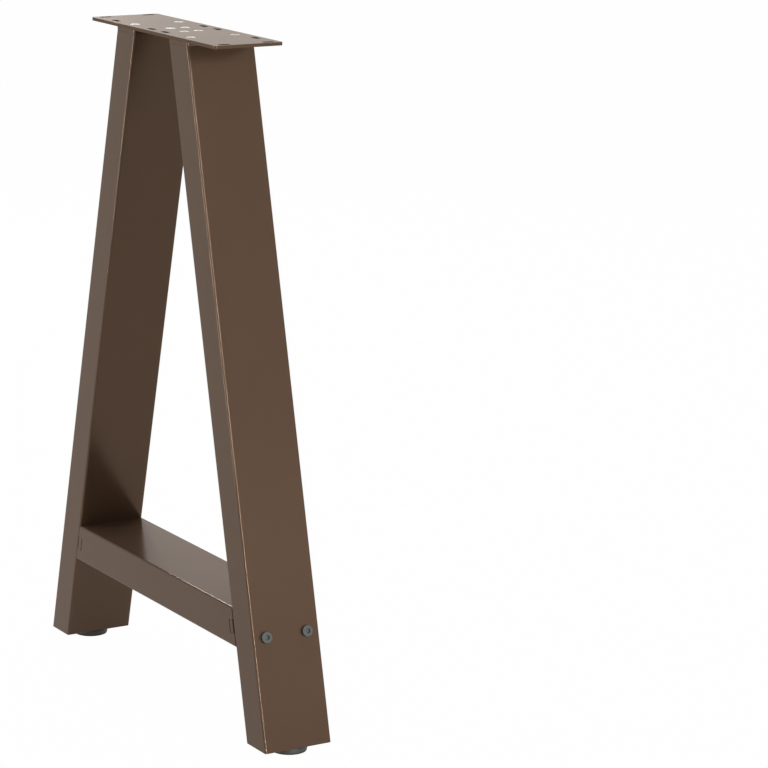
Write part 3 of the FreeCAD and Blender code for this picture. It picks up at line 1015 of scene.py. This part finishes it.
@dataclass
class Leg(SubAssembly):
    """A leaning tube with its head plate, bottom plate and foot nut."""

    side: Side
    room: float = 15.0
    bolt_hole_radius: float = 4.3
    mitre_edge: float = 0.3
    plate_edge: float = 0.25

    def bar(self, inset: float, corner: float, segments: int) -> Workpiece:
        """Make a rounded bar on the right leg's middle line, with room at both ends.

        Args:
            inset: How far it stays inside the tube's outer faces, in millimetres.
            corner: Its corner radius.
            segments: How many faces make up each corner.

        Returns:
            The bar.
        """
        half_width = self.sizes.tube_width / 2 - inset
        half_depth = self.sizes.tube_depth / 2 - inset
        reach = self.room + inset
        low = (-half_width, -half_depth, -reach)
        made = Workpiece.block(low, (half_width, half_depth, self.sizes.tube_length + reach))
        made.round_edges(runs_along("z"), corner, segments)
        return made.stand(self.sizes.leg_axes())

    def build_tube(self) -> None:
        """Make the mitred tube, hollow and bored for the rail bolts."""
        sizes = self.sizes
        tube = self.bar(0, sizes.tube_corner, 6)
        tube.trim((0, 0, sizes.tube_top), (0, 0, 1))
        tube.trim((0, 0, sizes.floor_gap), (0, 0, -1))
        for height in (sizes.tube_top, sizes.floor_gap):
            tube.round_edges(lies_at_height(height), self.mitre_edge, 2)
        tube.combine(self.bar(sizes.tube_wall, sizes.inner_corner, 3), Cut.TAKE_AWAY)
        for end in End:
            drill = Workpiece.rod(self.bolt_hole_radius, -sizes.tube_width, sizes.tube_width, 40)
            drill.stand(Matrix.Rotation(math.pi / 2, 4, "Y"))
            centre = shift(0, end.sign * sizes.bolt_y, sizes.bolt_along)
            drill.stand(sizes.leg_axes() @ centre)
            tube.combine(drill, Cut.TAKE_AWAY)
        tube.shade_evenly().stand(self.side.turn)
        name = self.side.value + "_leg"
        self.hand_over(tube, name + "_mitred_tube", "frame", Finish.FRAME_PAINT, name + "_tube")

    def build_plates(self) -> None:
        """Break the edges of the plates at the tube's two ends and of the foot nut."""
        pieces = {
            "_head_plate": Finish.FRAME_PAINT,
            "_bottom_plate": Finish.FRAME_PAINT,
            "_foot_nut": Finish.ZINC_STEEL,
        }
        for node, finish in pieces.items():
            self.refine(self.side.value + node, "_welded", finish, self.plate_edge)


@dataclass
class Rail(SubAssembly):
    """The cross rail with its tapped end plates and bolts."""

    tab_height: float = 14.0
    tab_gap: float = 1.2
    weld_gap: float = 0.2
    plate_edge: float = 0.2
    cutter_room: float = 5.0
    bolt_radius: float = 4.0
    bolt_head_radius: float = 6.0
    bolt_head_height: float = 4.0
    bolt_head_edge: float = 0.5
    bolt_edge: float = 0.12
    bolt_length: float = 50.0
    bolt_pitch: float = 1.25
    key_across: float = 5.0
    key_depth: float = 2.4
    first_turn: float = 8.0
    turn_step: float = 23.0

    def bar(self, inset: float, corner: float, segments: int, reach: float) -> Workpiece:
        """Make a rounded bar on the rail's middle line.

        Args:
            inset: How far it stays inside the rail's outer faces, in millimetres.
            corner: Its corner radius.
            segments: How many faces make up each corner.
            reach: Half its length.

        Returns:
            The bar.
        """
        half_depth = self.sizes.tube_depth / 2 - inset
        half_height = self.sizes.rail_height / 2 - inset
        middle = self.sizes.rail_middle
        low = (-reach, -half_depth, middle - half_height)
        made = Workpiece.block(low, (reach, half_depth, middle + half_height))
        made.round_edges(runs_along("x"), corner, segments)
        return made

    def notch_cutter(self) -> Workpiece:
        """Make the block that cuts the right end's notch for the end plate's tabs.

        Returns:
            The cutter.
        """
        sizes = self.sizes
        half_plate = sizes.end_plate_thickness / 2
        half_tab = self.tab_height / 2 + self.weld_gap
        low = (-half_plate - self.tab_gap, -sizes.tube_depth, -half_tab)
        high = (sizes.rail_setback + half_plate + self.cutter_room, sizes.tube_depth, half_tab)
        cutter = Workpiece.block(low, high)
        place = shift(sizes.end_plate_x, 0, sizes.rail_middle)
        return cutter.stand(place @ Matrix.Rotation(-sizes.lean, 4, "Y"))

    def build_tube(self) -> None:
        """Make the rail, its ends cut to the legs' lean and notched."""
        sizes = self.sizes
        reach = sizes.rail_half_length + sizes.rail_height
        rail = self.bar(0, sizes.tube_corner, 6, reach)
        for side in Side:
            end = (side.sign * sizes.rail_half_length, 0, sizes.rail_middle)
            outwards = (side.sign * math.cos(sizes.lean), 0, math.sin(sizes.lean))
            rail.trim(end, outwards)
        bore = self.bar(sizes.tube_wall, sizes.inner_corner, 3, reach + self.cutter_room)
        rail.combine(bore, Cut.TAKE_AWAY)
        for side in Side:
            rail.combine(self.notch_cutter().stand(side.turn), Cut.TAKE_AWAY)
        rail.shade_evenly()
        self.hand_over(rail, "notched_rail", "frame", Finish.FRAME_PAINT, "rail_tube")

    def build_end_plates(self) -> None:
        """Break the edges of the tapped plates in the rail's ends."""
        for side in Side:
            node = side.value + "_rail_end_plate"
            self.refine(node, "_tabbed", Finish.FRAME_PAINT, self.plate_edge)

    def model_bolt(self) -> Workpiece:
        """Make one low-headed bolt on the Z axis, its origin under its head.

        Returns:
            The bolt, upright at the origin.
        """
        height = self.bolt_head_height
        bolt = Workpiece.rod(self.bolt_head_radius, 0, height, 56)
        bolt.round_edges(lies_at_height(height), self.bolt_head_edge, 4)
        shank = Workpiece.thread(self.bolt_radius, self.bolt_pitch, -self.bolt_length, height / 4)
        bolt.combine(shank, Cut.FUSE)
        key_radius = self.key_across / math.sqrt(3)
        key = Workpiece.rod(key_radius, height - self.key_depth, height + CUT_ROOM, 6)
        bolt.combine(key, Cut.TAKE_AWAY)
        return bolt.soften(self.bolt_edge, segments=1, sharper_than=50)

    def bolt_places(self) -> Iterator[tuple[str, str, Matrix]]:
        """Find where each bolt goes.

        Yields:
            Its node, its body and its place.
        """
        sizes = self.sizes
        along_x = Matrix.Rotation(math.pi / 2, 4, "Y")
        for index, (side, end) in enumerate(product(Side, End)):
            across = side.sign * end.sign * sizes.bolt_y
            spot = shift(sizes.tube_width / 2, across, sizes.bolt_along)
            turn = turn_z(self.first_turn + self.turn_step * index)
            place = side.turn @ sizes.leg_axes() @ spot @ along_x @ turn
            yield "%s_%s_bolt" % (side.value, end.value), "frame", place

    def build_bolts(self) -> None:
        """Put the bolts through both legs."""
        self.hand_out(self.model_bolt(), "_turned", Finish.BLACK_STEEL, self.bolt_places())


@dataclass
class Foot(SubAssembly):
    """A levelling foot: a threaded stud, a moulded disc and a soft pad."""

    stud_radius: float = 5.0
    stud_length: float = 33.0
    stud_pitch: float = 1.5
    seat: float = 3.5
    disc_radius: float = 19.0
    disc_top: float = 6.5
    disc_edge: float = 1.0
    disc_lower_edge: float = 0.3
    seat_clearance: float = 0.05
    pad_radius: float = 18.5
    pad_thickness: float = 1.5
    pad_edge: float = 0.25

    def model_stud(self) -> Workpiece:
        """Make the stud on the Z axis."""
        bottom = self.disc_top - self.seat
        return Workpiece.thread(self.stud_radius, self.stud_pitch, bottom, bottom + self.stud_length)

    def model_disc(self) -> Workpiece:
        """Make the disc with its rounded upper edge and the stud's seat.

        Returns:
            The disc.
        """
        disc = Workpiece.rod(self.disc_radius, self.pad_thickness, self.disc_top, 72)
        disc.round_edges(lies_at_height(self.disc_top), self.disc_edge, 5)
        disc.round_edges(lies_at_height(self.pad_thickness), self.disc_lower_edge, 2)
        radius = self.stud_radius + self.seat_clearance
        seat = Workpiece.rod(radius, self.disc_top - self.seat, self.disc_top + CUT_ROOM, 40)
        disc.combine(seat, Cut.TAKE_AWAY)
        return disc

    def model_pad(self) -> Workpiece:
        """Make the pad with softened edges.

        Returns:
            The pad.
        """
        pad = Workpiece.rod(self.pad_radius, 0, self.pad_thickness, 72)
        for height in (0, self.pad_thickness):
            pad.round_edges(lies_at_height(height), self.pad_edge, 2)
        return pad

    def build(self) -> None:
        """Make the pieces once and put a copy under each leg."""
        models = (
            ("_stud", "_threaded", self.model_stud(), Finish.ZINC_STEEL),
            ("_disc", "_moulded", self.model_disc(), Finish.FOOT_PLASTIC),
            ("_pad", "_soft", self.model_pad(), Finish.PAD_RUBBER),
        )
        feet = [(side.value + "_foot", shift(side.sign * self.sizes.foot_x, 0, 0)) for side in Side]
        for word, manner, model, finish in models:
            places = [(body + word, body, place) for body, place in feet]
            self.hand_out(model.shade_evenly(), manner, finish, places)


@dataclass(frozen=True)
class Lamp:
    """A square or oblong soft light, which may show in mirror images and light nothing matt."""

    name: str
    place: Point
    aim: Point
    width: float
    height: float
    watts: float
    mirrored_only: bool = False

    def hang(self) -> None:
        """Put the lamp in the scene."""
        light = bpy.data.lights.new(self.name, "AREA")
        light.shape = "RECTANGLE"
        light.size = self.width
        light.size_y = self.height
        light.energy = self.watts
        holder = bpy.data.objects.new(self.name, light)
        bpy.context.scene.collection.objects.link(holder)
        holder.visible_camera = False
        holder.visible_diffuse = not self.mirrored_only
        holder.location = self.place
        away = Vector(self.place) - Vector(self.aim)
        holder.rotation_mode = "QUATERNION"
        holder.rotation_quaternion = away.to_track_quat("Z", "Y")


@dataclass
class Studio:
    """Floor, soft light and the camera."""

    camera_place: Point = (2.947993, -1.563358, 1.115491)
    yaw: float = 58.399
    pitch: float = 13.054
    roll: float = 0.848
    focal_pixels: float = 3197.69
    image_width: float = 768.0
    sensor: float = 36.0
    near_clip: float = 0.05
    far_clip: float = 200.0
    floor_size: float = 80.0
    floor_colour: Colour = (0.56, 0.52, 0.46)
    floor_veil: float = 0.99
    world_fill: float = 0.24
    lamps: tuple[Lamp, ...] = (
        Lamp("top_softbox", (-0.3, 0.2, 3.6), (0.0, 0.0, 0.4), 1.6, 1.6, 48.0),
        Lamp("left_softbox", (-0.70, -1.40, 0.95), (0.1, 0.0, 0.65), 0.12, 1.8, 5.0),
        Lamp("side_softbox", (-2.9, 0.85, 1.75), (0.0, 0.0, 0.4), 0.8, 0.5, 30.0),
        Lamp("right_softbox", (3.3, 0.0, 1.0), (0.0, 0.0, 0.4), 0.20, 2.0, 35.0),
        Lamp("left_strip", (-0.65, -1.41, 0.91), (0.1, 0.0, 0.91), 0.06, 1.8, 30.0, True),
        Lamp("right_strip", (3.3, 0.0, 1.0), (0.0, 0.0, 0.4), 0.10, 2.0, 100.0, True),
        Lamp("low_softbox", (2.75, 1.45, 0.60), (0.0, 0.0, 0.2), 0.8, 0.25, 0.4),
    )

    @staticmethod
    def seen(shader: Shader) -> Signal:
        """Tell the rays that look at the surroundings from those that light the object.

        Args:
            shader: The node tree of the floor or of the surroundings.

        Returns:
            One for a ray of the camera, of a mirror image or through glass, and zero otherwise.
        """
        direct, mirrored, through = (
            shader.node("ShaderNodeLightPath", output=kind)
            for kind in ("Is Camera Ray", "Is Glossy Ray", "Is Transmission Ray"))
        return direct.larger(mirrored).larger(through)

    def lay_floor(self) -> None:
        """Lay the pale floor, white to look at but for the object's shadow."""
        bpy.ops.mesh.primitive_plane_add(size=self.floor_size)
        floor = bpy.context.object
        floor.name = "studio_floor"
        shader = Shader.material("pale_floor")
        matt = shader.node("ShaderNodeBsdfDiffuse", None, {"Color": (*self.floor_colour, 1)})
        white = shader.node("ShaderNodeEmission", None, {"Strength": 1.0})
        veil = self.seen(shader) * self.floor_veil
        both = shader.node("ShaderNodeMixShader", None, {0: veil, 1: matt, 2: white})
        shader.node("ShaderNodeOutputMaterial", None, {"Surface": both})
        floor.data.materials.append(shader.owner)

    def light_world(self) -> None:
        """Make the surroundings white to look at and a soft fill otherwise."""
        world = bpy.data.worlds.new("studio_surroundings")
        bpy.context.scene.world = world
        shader = Shader(world)
        strength = self.world_fill + self.seen(shader) * (1 - self.world_fill)
        background = shader.node("ShaderNodeBackground", None, {"Strength": strength})
        shader.node("ShaderNodeOutputWorld", None, {"Surface": background})

    def place_camera(self) -> None:
        """Put the camera at the photograph's viewpoint."""
        yaw, pitch, roll = (math.radians(angle) for angle in (self.yaw, self.pitch, self.roll))
        forward = Vector((
            -math.sin(yaw) * math.cos(pitch), math.cos(yaw) * math.cos(pitch), -math.sin(pitch)))
        level = Vector((math.cos(yaw), math.sin(yaw), 0))
        upright = level.cross(forward)
        right = math.cos(roll) * level + math.sin(roll) * upright
        up = -math.sin(roll) * level + math.cos(roll) * upright
        turn = Matrix((right, up, -forward)).transposed().to_4x4()
        data = bpy.data.cameras.new("viewpoint")
        data.sensor_width = self.sensor
        data.lens = self.focal_pixels * self.sensor / self.image_width
        data.clip_start = self.near_clip
        data.clip_end = self.far_clip
        camera = bpy.data.objects.new("viewpoint", data)
        bpy.context.scene.collection.objects.link(camera)
        camera.matrix_world = Matrix.Translation(self.camera_place) @ turn
        bpy.context.scene.camera = camera

    def build(self) -> None:
        """Set up the whole studio."""
        self.lay_floor()
        self.light_world()
        for lamp in self.lamps:
            lamp.hang()
        self.place_camera()
        bpy.context.scene.view_settings.view_transform = "Standard"


def main() -> None:
    """Build the object's sub-assemblies in order, and the studio around them."""
    logging.basicConfig(level=logging.INFO, format="%(message)s")
    sizes = FrameSizes()
    paint_shop = PaintShop()
    Studio().build()
    plate = TopPlate(sizes, paint_shop)
    plate.build_plate()
    plate.build_screws()
    for side in Side:
        leg = Leg(sizes, paint_shop, side)
        leg.build_tube()
        leg.build_plates()
    rail = Rail(sizes, paint_shop)
    rail.build_tube()
    rail.build_end_plates()
    rail.build_bolts()
    Foot(sizes, paint_shop).build()
    bpy.ops.object.select_all(action="DESELECT")


if __name__ == "__main__":
    main()
